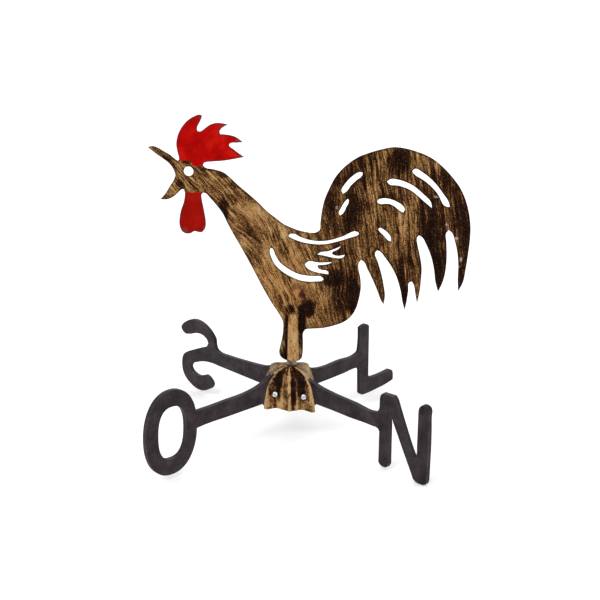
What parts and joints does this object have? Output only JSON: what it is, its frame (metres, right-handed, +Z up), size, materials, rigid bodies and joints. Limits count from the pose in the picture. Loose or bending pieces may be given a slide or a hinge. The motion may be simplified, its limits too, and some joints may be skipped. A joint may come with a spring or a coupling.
{
  "type": "weather vane",
  "caption": "Weather vane: a flat sheet-metal cockerel with cut-out feather slots turns freely on a spindle above a fluted hub and crossed arms ending in compass letters.",
  "frame": {"origin": "centre of the mast socket's mouth, on the axis the cockerel turns about", "axes": "+Z up along the spin axis; the cockerel's sheet is parallel to the X-Z plane with its head towards -X; the side seen in front is -Y; the four arms lie on the diagonals"},
  "size_m": [0.3346, 0.2725, 0.3432],
  "materials": {
    "antique_gold": "gold dry-brushed over dark brown, satin",
    "black_iron": "satin black with a purple-brown cast",
    "zinc": "bright zinc plate",
    "collar_metal": "dull pinkish tan"
  },
  "bodies": {
    "compass": {"hub_cover": "antique_gold", "hub_core": "black_iron", "arm_north": "black_iron", "arm_south": "black_iron", "arm_east": "black_iron", "arm_west": "black_iron", "cover_screws": "zinc", "cover_nuts": "zinc", "spindle": "zinc", "spindle_nut": "zinc", "base_washer": "black_iron", "spacer_collar": "collar_metal", "thrust_ball": "zinc"},
    "vane": {"rooster_plate": "antique_gold", "pivot_sleeve": "antique_gold", "sleeve_cap": "antique_gold"}
  },
  "joints": [
    {"name": "vane_spin", "type": "hinge", "parent": "compass", "child": "vane", "pos_m": [0, 0, 0.05], "axis": [0, 0, 1], "continuous": true}
  ]
}
